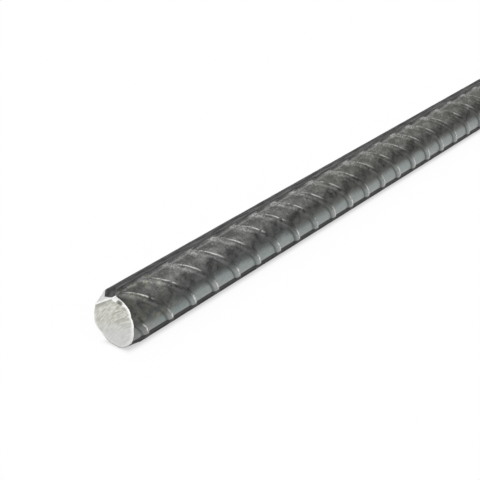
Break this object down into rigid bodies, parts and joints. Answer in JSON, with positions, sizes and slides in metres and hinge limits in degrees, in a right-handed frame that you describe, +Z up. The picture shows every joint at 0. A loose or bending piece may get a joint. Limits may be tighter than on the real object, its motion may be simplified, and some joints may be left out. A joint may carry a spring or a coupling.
{
  "type": "reinforcing bar",
  "caption": "Cut length of deformed steel reinforcing bar with long ribs and slanting cross ribs, dark mill scale and a bright sheared end, for casting into concrete.",
  "frame": {"origin": "On the floor, under the middle of the bar.", "axes": "+X runs along the bar away from the bevelled end, +Z is up, and +Y is the side to which the upper long rib leans."},
  "size_m": [0.5, 0.0159, 0.0156],
  "materials": {
    "mill_scale_steel": "dark hot rolled mill scale, worn to bare steel on the rib crests"
  },
  "bodies": {
    "root": {"reinforcing_bar": "mill_scale_steel"}
  },
  "joints": []
}
